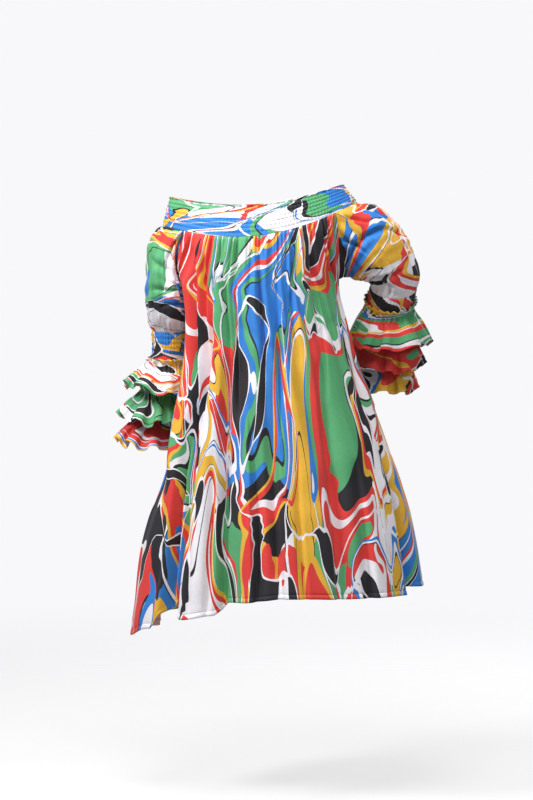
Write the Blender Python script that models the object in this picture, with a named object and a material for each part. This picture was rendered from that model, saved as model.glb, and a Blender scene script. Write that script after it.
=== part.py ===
"""An off-shoulder dress of printed cotton, seen as it hangs when it is worn: a shirred neckband, a gathered
front and back, two puffed sleeves with shirred cuffs, and three ruffles on each sleeve.

Metres, +Z up. The origin is at the middle of the neckband's lower ring. The back faces +Y, the front -Y,
and the left side of the dress is at +X. Angles go round the body from the left side over the back."""

import math
from collections import namedtuple

import bmesh
import bpy
import numpy as np

# Cloth and seams
WALL = 0.002
SEAM = 0.0003
CLOTH_COLOUR = (0.382, 0.296, 0.180, 1.0)
CLOTH_ROUGHNESS = 0.8

# How finely the pieces are cut
GATHERS = 18
COLUMNS_PER_GATHER = 4
BAND_COLUMNS = 64
SEAM_COLUMNS = 12
OVER_ARM_COLUMNS = 20
CUFF_COLUMNS = 20
RUFFLE_WAVES = 12
COLUMNS_PER_WAVE = 4

# The neckband's two rings, with how far each hangs down between the shoulders at the back and the front
Ring = namedtuple("Ring", "x half_width half_depth left_z right_z back_sag front_sag")
BAND_TOP = Ring(0.010, 0.199, 0.118, 0.041, 0.070, 0.042, 0.058)
BAND_BOTTOM = Ring(0.002, 0.225, 0.132, -0.026, 0.028, 0.059, 0.068)

# Shirring: elastic rows between a plain strip at the bottom and a frill at the top
BAND_ELASTICS = 7
BAND_STRIP = 0.13
BAND_FRILL = 0.10
CUFF_ELASTICS = 5
PUFF = 0.0012
FRILL_FLARE = 0.003

# Body sections from the neckband (share 0) to the hem (share 1). The edge columns say how far each panel
# stays back from the side, in degrees, so that they draw the armholes; 0 is the side seam.
Section = namedtuple("Section", "share x half_width half_depth left_edge right_edge gather")
SECTIONS = [
    Section(0.00, 0.002, 0.225, 0.132, 40, 40, 0.0020),
    Section(0.05, 0.002, 0.214, 0.138, 31, 34, 0.0038),
    Section(0.10, 0.002, 0.202, 0.144, 19, 27, 0.0044),
    Section(0.15, 0.002, 0.190, 0.149, 0, 17, 0.0046),
    Section(0.20, 0.002, 0.184, 0.152, 0, 0, 0.0046),
    Section(0.32, -0.008, 0.196, 0.156, 0, 0, 0.0045),
    Section(0.46, -0.015, 0.225, 0.166, 0, 0, 0.0042),
    Section(0.62, -0.026, 0.266, 0.184, 0, 0, 0.0030),
    Section(0.80, -0.034, 0.309, 0.208, 0, 0, 0.0015),
    Section(1.00, -0.040, 0.336, 0.232, 0, 0, 0.0000),
]
LEFT_UNDERARM = 3
RIGHT_UNDERARM = 4

# Height of the hem round the body
HemPoint = namedtuple("HemPoint", "angle z")
HEM = [
    HemPoint(8, -0.970),
    HemPoint(27, -0.948),
    HemPoint(39, -0.890),
    HemPoint(50, -0.919),
    HemPoint(63, -0.909),
    HemPoint(69, -0.881),
    HemPoint(95, -0.868),
    HemPoint(120, -0.872),
    HemPoint(150, -0.870),
    HemPoint(165, -0.857),
    HemPoint(185, -0.856),
    HemPoint(215, -0.868),
    HemPoint(250, -0.876),
    HemPoint(285, -0.890),
    HemPoint(320, -0.925),
    HemPoint(345, -0.958),
]

# Hanging folds: where the middle of each lies at the top, half way and the hem, and how far it goes in (or
# out, if negative) near the top, half way and at the hem, and how wide it is
Fold = namedtuple("Fold", "top middle hem top_depth middle_depth hem_depth half_width")
FOLDS = [
    Fold(31, 27, 20, -0.010, -0.018, 0.000, 13.0),
    Fold(52, 45, 40, 0.006, 0.030, 0.066, 9.0),
    Fold(64, 54, 54, 0.000, -0.004, -0.010, 9.0),
    Fold(80, 69, 69.5, 0.002, 0.018, 0.042, 11.0),
    Fold(104, 98, 96, 0.000, 0.000, -0.006, 11.0),
    Fold(128, 122, 121, 0.000, 0.004, 0.012, 14.0),
    Fold(140, 158, 161, 0.000, 0.008, 0.036, 8.0),
    Fold(0, 4, 8, 0.000, -0.002, -0.006, 14.0),
    Fold(184, 186, 187, 0.000, 0.004, 0.030, 9.0),
    Fold(214, 207, 205, 0.002, 0.016, 0.052, 11.0),
    Fold(236, 230, 228, 0.000, 0.012, 0.034, 11.0),
    Fold(254, 251, 250, 0.004, 0.022, 0.058, 10.0),
    Fold(272, 273, 274, 0.000, 0.010, 0.030, 11.0),
    Fold(290, 297, 298, 0.004, 0.020, 0.060, 11.0),
    Fold(306, 319, 321, 0.000, 0.010, 0.034, 10.0),
    Fold(328, 341, 342, 0.000, 0.010, 0.048, 10.0),
]

# The gathers start between the armholes and have spread out to the side seams by this share
GATHERS_SPREAD = 0.60
EDGE_HOLD = 4

# The left sleeve hangs against the body and presses it in, less sharply towards the front
PRESS_DEPTH = 0.040
PRESS_BACK = 34.0
PRESS_FRONT = 62.0
PRESS_TOP_ANGLE = -4.0
PRESS_LOW_ANGLE = -16.0
PRESS_START = 0.02
PRESS_FULL = 0.15
PRESS_FADE = 0.55
PRESS_END = 0.78

# Sleeve sections. Tilt turns the over-arm side from straight up (0) to straight out (90), and lean drops the
# back of a section. The last row is the seam with the cuff.
Hoop = namedtuple("Hoop", "x y z tilt lean over side gather")
SLEEVES = {
    "left": [
        Hoop(0.211, -0.008, -0.122, 44, 0, 0.072, 0.080, 0.0035),
        Hoop(0.214, -0.013, -0.168, 70, 2, 0.057, 0.086, 0.0035),
        Hoop(0.214, -0.021, -0.215, 88, 4, 0.054, 0.082, 0.0035),
        Hoop(0.213, -0.029, -0.250, 90, 6, 0.049, 0.068, 0.0030),
        Hoop(0.211, -0.032, -0.266, 90, 8, 0.043, 0.055, 0.0018),
    ],
    "right": [
        Hoop(-0.246, -0.006, -0.066, 26, 0, 0.086, 0.084, 0.0035),
        Hoop(-0.270, -0.012, -0.088, 42, 6, 0.080, 0.082, 0.0040),
        Hoop(-0.297, -0.022, -0.116, 62, 16, 0.066, 0.076, 0.0040),
        Hoop(-0.312, -0.031, -0.143, 80, 26, 0.058, 0.064, 0.0030),
        Hoop(-0.310, -0.036, -0.166, 90, 32, 0.053, 0.055, 0.0018),
    ],
}
ROLL_ALONG = 0.0025
ROLL_OUT = 0.004
HEAD_PLACE = 0.58
HEAD_PUFF = 0.006
CLEARANCE = 0.008

# Cuff sections: the top seam, the end of the shirring, then the three ruffle stitch lines, and the free end
CUFFS = {
    "left": [
        Hoop(0.211, -0.032, -0.266, 90, 8, 0.043, 0.055, 0.0),
        Hoop(0.213, -0.041, -0.318, 90, 8, 0.042, 0.053, 0.0),
        Hoop(0.219, -0.047, -0.343, 90, 9, 0.048, 0.053, 0.0),
        Hoop(0.230, -0.060, -0.404, 90, 12, 0.049, 0.052, 0.0),
        Hoop(0.241, -0.074, -0.465, 90, 14, 0.048, 0.050, 0.0),
        Hoop(0.243, -0.077, -0.477, 90, 14, 0.048, 0.050, 0.0),
    ],
    "right": [
        Hoop(-0.310, -0.036, -0.166, 90, 32, 0.053, 0.055, 0.0),
        Hoop(-0.304, -0.050, -0.190, 90, 33, 0.053, 0.055, 0.0),
        Hoop(-0.301, -0.060, -0.205, 90, 33, 0.053, 0.055, 0.0),
        Hoop(-0.294, -0.095, -0.256, 90, 32, 0.052, 0.053, 0.0),
        Hoop(-0.288, -0.127, -0.307, 90, 30, 0.050, 0.051, 0.0),
        Hoop(-0.287, -0.133, -0.317, 90, 30, 0.050, 0.051, 0.0),
    ],
}
FIRST_STITCH = 2

# Ruffles: how far the hem drops, moves sideways and flares, how far its outer side is lifted, and the share
# of the flare that is kept where it lies against the body
Ruffle = namedtuple("Ruffle", "drop out back flare lift kept")
RUFFLES = {
    "left": [
        Ruffle(0.078, 0.004, 0.000, 0.044, 0.030, 0.12),
        Ruffle(0.078, 0.006, -0.004, 0.046, 0.018, 0.10),
        Ruffle(0.084, 0.006, -0.006, 0.045, 0.030, 0.08),
    ],
    "right": [
        Ruffle(0.090, -0.004, -0.048, 0.046, 0.004, 0.60),
        Ruffle(0.088, 0.002, -0.048, 0.042, 0.000, 0.50),
        Ruffle(0.090, 0.004, -0.044, 0.038, 0.000, 0.45),
    ],
}
HEADING = 0.016
HEADING_FLARE = 0.004
HEADING_WAVE = 0.0025
HEM_WAVE = 0.011
STITCH_WAVE = 0.0006
PRESSED_SIDE = 150.0
PRESSED_HALF = 95.0
MIDDLE_DROP = 0.48
LEVELLED = 0.7
MIDDLE_FLARE = 0.50


def ease(share):
    """0 to 1 with a soft start and end."""
    share = np.clip(share, 0.0, 1.0)
    return share * share * (3.0 - 2.0 * share)


def turned(angle, middle):
    """The angle from middle, between -180 and 180."""
    return (np.asarray(angle) - middle + 180.0) % 360.0 - 180.0


def bump(angle, middle, half_width):
    """1 at the middle and 0 from half_width away."""
    away = np.clip(np.abs(turned(angle, middle)) / half_width, 0.0, 1.0)
    return 0.5 + 0.5 * np.cos(math.pi * away)


def ring_height(ring, angle):
    """Height of a neckband ring at an angle."""
    angle = np.radians(angle)
    sag = np.where(np.sin(angle) > 0.0, ring.back_sag, ring.front_sag)
    middle = (ring.left_z + ring.right_z) / 2
    lift = (ring.left_z - ring.right_z) / 2
    return middle + lift * np.cos(angle) - sag * np.sin(angle) ** 2


def hem_height(angle):
    """Height of the hem at an angle, eased between the points of the table."""
    keys = [HEM[-1].angle - 360.0] + [p.angle for p in HEM] + [HEM[0].angle + 360.0]
    heights = np.array([HEM[-1].z] + [p.z for p in HEM] + [HEM[0].z])
    angle = np.asarray(angle, float) % 360.0
    place = np.interp(angle, keys, np.arange(len(keys)))
    below = np.minimum(place.astype(int), len(keys) - 2)
    part = ease(place - below)
    return heights[below] * (1.0 - part) + heights[below + 1] * part


def through(share, top, middle, low):
    """A smooth change from top to low that leans towards middle on the way."""
    return top * (1.0 - share) ** 2 + 2.0 * middle * share * (1.0 - share) + low * share**2


def folds_in(angle, share):
    """How far the cloth goes in at the hanging folds and where the left sleeve presses it."""
    total = np.zeros_like(angle)
    for fold in FOLDS:
        middle = np.interp(share, (0.0, 0.5, 1.0), (fold.top, fold.middle, fold.hem))
        depth = through(share, fold.top_depth, fold.middle_depth, fold.hem_depth)
        total += depth * ease(share / PRESS_FULL) * bump(angle, middle, fold.half_width)
    pressed = ease((share - PRESS_START) / (PRESS_FULL - PRESS_START))
    pressed *= 1.0 - ease((share - PRESS_FADE) / (PRESS_END - PRESS_FADE))
    low = ease((share - PRESS_START) / (PRESS_FADE - PRESS_START))
    middle = PRESS_TOP_ANGLE + (PRESS_LOW_ANGLE - PRESS_TOP_ANGLE) * low
    behind = bump(angle, middle, PRESS_BACK)
    ahead = bump(angle, middle, PRESS_FRONT)
    return total + PRESS_DEPTH * pressed * np.where(turned(angle, middle) > 0.0, behind, ahead)


def ring_normal(half_width, half_depth, angle):
    """The level direction out of an ellipse."""
    angle = np.radians(angle)
    across = np.stack([np.cos(angle) / half_width, np.sin(angle) / half_depth, np.zeros_like(angle)], -1)
    return across / np.linalg.norm(across, axis=-1, keepdims=True)


def body_points(section, angle, gather):
    """Points half way through the body's wall, at angles round one section."""
    angle = np.asarray(angle, float)
    turn = np.radians(angle)
    out = gather - folds_in(angle, section.share)
    flat = np.stack(
        [
            section.x + section.half_width * np.cos(turn),
            section.half_depth * np.sin(turn),
            np.zeros_like(turn),
        ],
        -1,
    )
    flat += ring_normal(section.half_width, section.half_depth, angle) * out[..., None]
    return at_height(section, flat, angle)


def at_height(section, points, angle):
    """The same points at their section's height, so that a wall's two sides end level at the neckband."""
    across = (points[..., 0] - section.x) / section.half_width
    top = ring_height(BAND_BOTTOM, np.degrees(np.arctan2(points[..., 1] / section.half_depth, across))) - SEAM
    height = top + (hem_height(angle) - top) * section.share
    return np.concatenate([points[..., :2], height[..., None]], -1)


def level_normals(ahead, behind):
    """The level direction out of a wall, from the points just ahead and just behind on each ring."""
    along = ahead - behind
    out = np.stack([along[..., 1], -along[..., 0], np.zeros(along.shape[:-1])], -1)
    return out / np.linalg.norm(out, axis=-1, keepdims=True)


def make_piece(name, outer, inner, closed):
    """One solid wall between two grids of points. Grids hold rows from top to bottom. A closed piece goes
    all the way round, and its inner grid may have fewer rows."""
    mesh = bmesh.new()
    sides = []
    for grid in (outer, inner):
        sides.append([[mesh.verts.new(point) for point in row] for row in grid])
    columns = outer.shape[1]
    last = columns if closed else columns - 1
    for rows in sides:
        for upper, lower in zip(rows, rows[1:]):
            for i in range(last):
                j = (i + 1) % columns
                mesh.faces.new((upper[i], upper[j], lower[j], lower[i]))
    for outside, inside in ((sides[0][0], sides[1][0]), (sides[0][-1], sides[1][-1])):
        for i in range(last):
            j = (i + 1) % columns
            mesh.faces.new((outside[i], outside[j], inside[j], inside[i]))
    if not closed:
        for i in (0, -1):
            for k in range(len(sides[0]) - 1):
                outside = (sides[0][k][i], sides[0][k + 1][i])
                mesh.faces.new((*outside, sides[1][k + 1][i], sides[1][k][i]))
    bmesh.ops.recalc_face_normals(mesh, faces=mesh.faces)
    data = bpy.data.meshes.new(name)
    mesh.to_mesh(data)
    mesh.free()
    data.shade_smooth()
    data.materials.append(printed_cotton(name))
    piece = bpy.data.objects.new(name, data)
    bpy.context.collection.objects.link(piece)
    return piece


def printed_cotton(name):
    """The cloth's mean colour, since the print is not part of the solid."""
    material = bpy.data.materials.new(name + "_cotton")
    material.use_nodes = True
    shader = material.node_tree.nodes["Principled BSDF"]
    shader.inputs["Base Color"].default_value = CLOTH_COLOUR
    shader.inputs["Roughness"].default_value = CLOTH_ROUGHNESS
    shader.inputs["Metallic"].default_value = 0.0
    return material


def gather_waves(part, amount):
    """Gathers across a panel, uneven in height, and flat at its two edges."""
    number = np.floor(part * GATHERS)
    uneven = 0.78 + 0.22 * np.sin(2.4 * number) * np.cos(1.1 * number)
    edges = ease(np.minimum(part, 1.0 - part) * GATHERS)
    return -amount * np.cos(2.0 * math.pi * GATHERS * part) * uneven * edges


def panel_angles(section, part, back):
    """Angles across a panel: gathers run down nearly straight, and the edges follow armhole and side."""
    top = SECTIONS[0]
    spread = ease(section.share / GATHERS_SPREAD)
    left = top.left_edge * (1.0 - spread)
    right = top.right_edge * (1.0 - spread)
    angle = left + (180.0 - right - left) * part
    angle += (section.left_edge - left) * (1.0 - part) ** EDGE_HOLD
    angle -= (section.right_edge - right) * part**EDGE_HOLD
    return angle if back else 360.0 - angle


def make_panel(name, back):
    """The front or back, between the armholes and the side seams."""
    count = GATHERS * COLUMNS_PER_GATHER
    part = np.linspace(0.0, 1.0, count + 1)
    step = 0.1 / count
    outer = []
    inner = []
    for section in SECTIONS:
        rings = []
        for shift in (-step, 0.0, step):
            moved = part + shift
            angle = panel_angles(section, moved, back)
            rings.append(body_points(section, angle, gather_waves(moved, section.gather)))
        normals = level_normals(rings[2], rings[0]) * (1.0 if back else -1.0)
        middle = rings[1]
        for edge, inward in ((0, 1), (-1, -1)):
            along = (rings[2][edge] - rings[0][edge]) * inward
            along[2] = 0.0
            middle[edge] += along / np.linalg.norm(along) * SEAM / 2
        angle = panel_angles(section, part, back)
        outer.append(at_height(section, middle + normals * WALL / 2, angle))
        inner.append(at_height(section, middle - normals * WALL / 2, angle))
    return make_piece(name, np.array(outer), np.array(inner), closed=False)


def armhole_loop(side):
    """The closed line of a sleeve's head and the level direction out of the cloth along it: down the back
    armhole, up the front one, and back under the neckband over the arm."""
    left = side == "left"
    underarm = LEFT_UNDERARM if left else RIGHT_UNDERARM
    facing = 0.0 if left else 180.0
    turn = 1.0 if left else -1.0
    share = SEAM_COLUMNS // underarm
    points = []
    normals = []

    def seam_point(row, sign):
        section = SECTIONS[row]
        edge = section.left_edge if left else section.right_edge
        angle = np.array([facing + turn * sign * edge])
        near = [body_points(section, angle + shift, np.zeros(1)) for shift in (-0.01, 0.01)]
        return body_points(section, angle, np.zeros(1))[0], level_normals(near[1], near[0])[0]

    back = [seam_point(row, 1.0) for row in range(underarm + 1)]
    front = [seam_point(row, -1.0) for row in range(underarm, -1, -1)]
    for line in (back, front):
        for (start, start_out), (end, end_out) in zip(line, line[1:]):
            for k in range(share):
                part = k / share
                points.append(start + (end - start) * part)
                normals.append(start_out + (end_out - start_out) * part)
    top = SECTIONS[0].left_edge if left else SECTIONS[0].right_edge
    for k in range(OVER_ARM_COLUMNS):
        angle = np.array([facing + turn * top * (2.0 * k / OVER_ARM_COLUMNS - 1.0)])
        points.append(body_points(SECTIONS[0], angle, np.zeros(1))[0])
        normals.append(ring_normal(SECTIONS[0].half_width, SECTIONS[0].half_depth, angle)[0])
    normals = np.array(normals)
    return np.array(points), normals / np.linalg.norm(normals, axis=1, keepdims=True)


def unit(vectors):
    return vectors / np.maximum(np.linalg.norm(vectors, axis=-1, keepdims=True), 1e-12)


def away_from_seam(points, normals, turn):
    """How to move each point of the head loop so that it is one unit clear of the seam, in the cloth."""
    along = unit(np.roll(points, -1, axis=0) - points)
    ahead = unit(np.cross(along, normals) * turn)
    behind = unit(np.cross(np.roll(along, 1, axis=0), normals) * turn)
    return (ahead + behind) / (1.0 + np.sum(ahead * behind, axis=1, keepdims=True))


def section_at(share):
    """The body section at any share of the way down."""
    share = np.clip(share, 0.0, 1.0)
    shares = [section.share for section in SECTIONS]
    values = [np.interp(share, shares, column) for column in zip(*SECTIONS)]
    return Section(*values)


def clear_of_body(points):
    """The same points, moved out where they would come nearer than CLEARANCE to the body."""
    centre = section_at(np.full(len(points), 0.3))
    angle = np.degrees(np.arctan2(points[:, 1] / centre.half_depth, (points[:, 0] - centre.x) / centre.half_width))
    top = ring_height(BAND_BOTTOM, angle)
    moved = points.copy()
    for k, point in enumerate(points):
        share = (top[k] - point[2]) / (top[k] - hem_height(angle[k]))
        section = section_at(share)
        turn = np.degrees(
            np.arctan2(point[1] / section.half_depth, (point[0] - section.x) / section.half_width)
        )
        near = [body_points(section, np.array([turn + shift]), np.zeros(1))[0] for shift in (-1.0, 0.0, 1.0)]
        out = level_normals(near[2], near[0])
        distance = np.dot(point - near[1], out * (1.0, 1.0, 0.0))
        moved[k] += out * max(CLEARANCE - distance, 0.0)
    return moved


def hoop_axes(hoop, side):
    """Over-arm and back directions of a hoop."""
    turn = 1.0 if side == "left" else -1.0
    tilt = math.radians(hoop.tilt)
    lean = math.radians(hoop.lean)
    over = np.array([turn * math.sin(tilt), 0.0, math.cos(tilt)])
    back = np.array([0.0, math.cos(lean), -math.sin(lean)])
    return over, back


def hoop_points(hoop, side, turn, out):
    """Points round a hoop at angles from its over-arm side towards the back, moved out in its own plane,
    with the direction out."""
    over, back = hoop_axes(hoop, side)
    turn = np.radians(turn)
    centre = np.array([hoop.x, hoop.y, hoop.z])
    points = centre + over * hoop.over * np.cos(turn)[:, None] + back * hoop.side * np.sin(turn)[:, None]
    normal = over * (np.cos(turn) / hoop.over)[:, None] + back * (np.sin(turn) / hoop.side)[:, None]
    normal = unit(normal)
    return points + normal * np.broadcast_to(out, turn.shape)[:, None], normal


def grid_normals(grid, side):
    """Directions out of a closed grid of rows, each half way between the strips that meet there."""
    round_it = np.roll(grid, -1, axis=1) - np.roll(grid, 1, axis=1)
    strips = unit(np.cross(round_it[:-1] + round_it[1:], grid[1:] - grid[:-1]))
    joined = np.concatenate([strips[:1], strips]) + np.concatenate([strips, strips[-1:]])
    return unit(joined) * (-1.0 if side == "left" else 1.0)


def softened(row):
    """A closed row with its corners rounded a little."""
    return (np.roll(row, 1, axis=0) + 2.0 * row + np.roll(row, -1, axis=0)) / 4.0


def make_sleeve(side):
    """The puffed sleeve from the head loop to the cuff seam."""
    count = OVER_ARM_COLUMNS + 2 * SEAM_COLUMNS
    loop, out = armhole_loop(side)
    away = away_from_seam(loop, out, 1.0 if side == "left" else -1.0)
    step = 360.0 / count
    turn = OVER_ARM_COLUMNS / 2 * step + step * np.arange(count)
    waves = np.cos(math.radians(360.0 / COLUMNS_PER_GATHER) * np.arange(count))
    over_arm = 0.35 + 0.65 * (0.5 + 0.5 * np.cos(np.radians(turn)))
    rows = [loop + away * SEAM, loop + away * ROLL_ALONG + out * ROLL_OUT]
    for hoop in SLEEVES[side]:
        rows.append(clear_of_body(hoop_points(hoop, side, turn, hoop.gather * waves * over_arm)[0]))
    head = rows[1] + (rows[2] - rows[1]) * HEAD_PLACE + np.array([0.0, 0.0, HEAD_PUFF]) * over_arm[:, None] ** 2
    rows.insert(2, softened(clear_of_body(head)))
    grid = np.array(rows)
    normals = grid_normals(grid, side)
    normals[0] = out
    normals[-1] = hoop_points(SLEEVES[side][-1], side, turn, 0.0)[1]
    return make_piece(
        "sleeve_" + side, grid + normals * WALL / 2, grid - normals * WALL / 2, closed=True
    )


def hoop_between(upper, lower, part):
    return Hoop(*(a + (b - a) * part for a, b in zip(upper, lower)))


def hoop_lower(hoop, amount, side):
    """The same hoop moved along its own axis."""
    over, back = hoop_axes(hoop, side)
    axis = np.cross(over, back) * (-1.0 if side == "left" else 1.0)
    move = axis * amount
    return hoop._replace(x=hoop.x + move[0], y=hoop.y + move[1], z=hoop.z + move[2])


def shirred(elastics, plain_start, plain_end):
    """Rows of a shirred strip as (share of its height, height of the puff)."""
    rows = [(0.0, 0.0)]
    step = (1.0 - plain_start - plain_end) / (elastics - 1)
    for k in range(elastics):
        place = plain_start + step * k
        rows.append((place, 0.0))
        if k < elastics - 1:
            rows.append((place + step / 2, 1.0))
    rows.append((1.0, 0.0))
    return rows


def make_cuff(side):
    """The shirred cuff, and the plain tube below it that the ruffles are sewn to."""
    turn = 360.0 / CUFF_COLUMNS * np.arange(CUFF_COLUMNS)
    hoops = list(CUFFS[side])
    hoops[0] = hoop_lower(hoops[0], SEAM, side)
    outer = []
    for place, puff in shirred(CUFF_ELASTICS, 0.08, 0.08)[:-1]:
        hoop = hoop_between(hoops[0], hoops[1], place)
        outer.append(hoop_points(hoop, side, turn, WALL / 2 + PUFF * puff)[0])
    for hoop in hoops[1:]:
        outer.append(hoop_points(hoop, side, turn, WALL / 2)[0])
    inner = [hoop_points(hoop, side, turn, -WALL / 2)[0] for hoop in hoops]
    return make_piece("cuff_" + side, np.array(outer), np.array(inner), closed=True)


def make_ruffle(side, tier):
    """One ruffle: the standing frill, the stitch line, and the skirt down to its hem."""
    count = RUFFLE_WAVES * COLUMNS_PER_WAVE
    hoops = CUFFS[side]
    stitch = hoops[FIRST_STITCH + tier]
    above = hoops[FIRST_STITCH + tier - 1]
    ruffle = RUFFLES[side][tier]
    turn = 360.0 / count * np.arange(count)
    number = np.floor(np.arange(count) / COLUMNS_PER_WAVE)
    uneven = 0.82 + 0.18 * np.sin(1.9 * number + tier)
    waves = (0.5 - 0.5 * np.cos(math.radians(360.0 / COLUMNS_PER_WAVE) * np.arange(count))) * uneven
    kept = 1.0 - (1.0 - ruffle.kept) * bump(turn, PRESSED_SIDE, PRESSED_HALF)
    sewn = WALL + SEAM
    clear = sewn + PUFF
    gap = math.dist((above.x, above.y, above.z), (stitch.x, stitch.y, stitch.z))
    heading = hoop_between(stitch, above, HEADING / gap)
    rows = [
        hoop_points(heading, side, turn, clear + HEADING_FLARE * kept + HEADING_WAVE * waves)[0],
        hoop_points(stitch, side, turn, sewn + STITCH_WAVE * waves)[0],
    ]
    for drop, flare in ((MIDDLE_DROP, MIDDLE_FLARE), (1.0, 1.0)):
        level = stitch._replace(
            x=stitch.x + ruffle.out * drop,
            y=stitch.y + ruffle.back * drop,
            z=stitch.z - ruffle.drop * drop,
            lean=stitch.lean * (1.0 - LEVELLED * drop),
        )
        reach = clear + (ruffle.flare * flare - HEM_WAVE * drop * 0.5) * kept + HEM_WAVE * drop * waves * kept
        row = hoop_points(level, side, turn, reach)[0]
        row[:, 2] += ruffle.lift * flare * (0.5 + 0.5 * np.cos(np.radians(turn)))
        rows.append(clear_of_body(row))
    grid = np.array(rows)
    normals = grid_normals(grid, side)
    return make_piece(
        f"ruffle_{side}_{tier + 1}", grid + normals * WALL / 2, grid - normals * WALL / 2, closed=True
    )


def band_point_rows(height, out):
    """One row round the neckband, at a share of its height from the bottom, moved out of its middle."""
    angle = 360.0 / BAND_COLUMNS * np.arange(BAND_COLUMNS)
    turn = np.radians(angle)
    x = BAND_BOTTOM.x + (BAND_TOP.x - BAND_BOTTOM.x) * height
    half_width = BAND_BOTTOM.half_width + (BAND_TOP.half_width - BAND_BOTTOM.half_width) * height
    half_depth = BAND_BOTTOM.half_depth + (BAND_TOP.half_depth - BAND_BOTTOM.half_depth) * height
    row = np.stack([x + half_width * np.cos(turn), half_depth * np.sin(turn), np.zeros_like(turn)], -1)
    row += ring_normal(half_width, half_depth, angle) * out
    moved = np.degrees(np.arctan2(row[:, 1] / half_depth, (row[:, 0] - x) / half_width))
    low = ring_height(BAND_BOTTOM, moved)
    row[:, 2] = low + (ring_height(BAND_TOP, moved) - low) * height
    return row


def make_neckband():
    """The shirred neckband with the frill along its top."""
    outer = []
    for place, puff in reversed(shirred(BAND_ELASTICS, BAND_STRIP, BAND_FRILL)):
        flare = FRILL_FLARE if place == 1.0 else 0.0
        outer.append(band_point_rows(place, WALL / 2 + PUFF * puff + flare))
    inner = [band_point_rows(1.0, FRILL_FLARE - WALL / 2)]
    inner += [band_point_rows(1.0 - BAND_FRILL, -WALL / 2), band_point_rows(0.0, -WALL / 2)]
    return make_piece("neckband", np.array(outer), np.array(inner), closed=True)


for old in list(bpy.data.objects):
    bpy.data.objects.remove(old, do_unlink=True)

make_neckband()
make_panel("back_panel", back=True)
make_panel("front_panel", back=False)
for arm in ("left", "right"):
    make_sleeve(arm)
    make_cuff(arm)
    for number in range(len(RUFFLES[arm])):
        make_ruffle(arm, number)
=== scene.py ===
import math
from collections import namedtuple

import bpy
import numpy as np
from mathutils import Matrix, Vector


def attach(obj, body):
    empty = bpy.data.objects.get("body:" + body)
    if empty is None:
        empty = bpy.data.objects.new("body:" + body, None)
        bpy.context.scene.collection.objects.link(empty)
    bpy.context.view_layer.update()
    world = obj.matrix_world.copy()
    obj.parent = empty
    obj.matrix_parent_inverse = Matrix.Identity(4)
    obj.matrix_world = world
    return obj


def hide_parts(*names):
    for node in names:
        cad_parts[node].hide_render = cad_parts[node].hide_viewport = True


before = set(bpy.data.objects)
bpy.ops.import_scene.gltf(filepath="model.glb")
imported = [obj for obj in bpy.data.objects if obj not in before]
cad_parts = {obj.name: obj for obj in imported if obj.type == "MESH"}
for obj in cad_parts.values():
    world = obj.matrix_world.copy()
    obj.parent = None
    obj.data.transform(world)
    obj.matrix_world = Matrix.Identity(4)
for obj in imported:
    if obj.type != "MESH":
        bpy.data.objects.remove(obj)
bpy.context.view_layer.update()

# Camera. It stands 4.5 m behind the dress, level with the waist, and looks straight at the back.
CAMERA_PLACE = (-0.0128, 4.5, -0.4292)
HEIGHT_IN_VIEW = 1.856
LONG_SIDE = 36.0

camera_data = bpy.data.cameras.new("camera")
camera_data.sensor_width = LONG_SIDE
camera_data.lens = LONG_SIDE * CAMERA_PLACE[1] / HEIGHT_IN_VIEW
camera = bpy.data.objects.new("camera", camera_data)
camera.location = CAMERA_PLACE
camera.rotation_euler = (math.pi / 2, 0.0, math.pi)
bpy.context.scene.collection.objects.link(camera)
bpy.context.scene.camera = camera

# Neckband. A wide strip of the printed cotton, cut with the print running along it and sewn from inside
# with seven rows of elastic thread, which pull it into small puckers. A frill stands above the top row, and
# a plain strip below the last one is sewn to the body and the sleeves.
Ring = namedtuple("Ring", "x half_width half_depth left_z right_z back_sag front_sag")
BAND_TOP = Ring(0.010, 0.199, 0.118, 0.041, 0.070, 0.042, 0.058)
BAND_BOTTOM = Ring(0.002, 0.225, 0.132, -0.026, 0.028, 0.059, 0.068)
BAND_ELASTICS = 7
BAND_STRIP = 0.13
BAND_FRILL = 0.10
BAND_COLUMNS = 680
BAND_ROWS = 58
BAND_PUCKERS = 150
BAND_CUT = (1.18, 0.090)
BAND_PRINT = 1.45
# How far the cloth puffs out between elastics and in its cells, how far the cells shift from row to row and
# within one, how even they are, and how far they reach past the outer elastics, in rows
PUFF = 0.0022
CELL = 0.0020
ROW_SHIFT = 1.9
CELL_SHIFT = 1.1
EVEN_PUFF = 0.78
ELASTIC_REACH = 0.5
FRILL_FLARE = 0.003
FRILL_WAVE = 0.0022
CLOTH = 0.0007
SEAM = 0.0003


def ease(share):
    """0 to 1 with a soft start and end."""
    share = np.clip(share, 0.0, 1.0)
    return share * share * (3.0 - 2.0 * share)


def wander(turn, seed, waves=(1, 2, 3, 5, 7, 11)):
    """An uneven wave between about -1 and 1 that closes after one turn, in radians."""
    return sum(np.sin(k * turn + seed * (k + 0.7) + 0.9 * k * k) for k in waves) / math.sqrt(2.0 * len(waves))


def unit(vectors):
    return vectors / np.maximum(np.linalg.norm(vectors, axis=-1, keepdims=True), 1e-12)


def ring_height(ring, angle):
    """Height of a neckband ring at an angle in degrees, from the left side over the back."""
    angle = np.radians(angle)
    sag = np.where(np.sin(angle) > 0.0, ring.back_sag, ring.front_sag)
    middle = (ring.left_z + ring.right_z) / 2
    lift = (ring.left_z - ring.right_z) / 2
    return middle + lift * np.cos(angle) - sag * np.sin(angle) ** 2


def ring_normal(half_width, half_depth, angle):
    """The level direction out of an ellipse."""
    angle = np.radians(angle)
    return unit(np.stack([np.cos(angle) / half_width, np.sin(angle) / half_depth, 0.0 * angle], -1))


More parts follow.
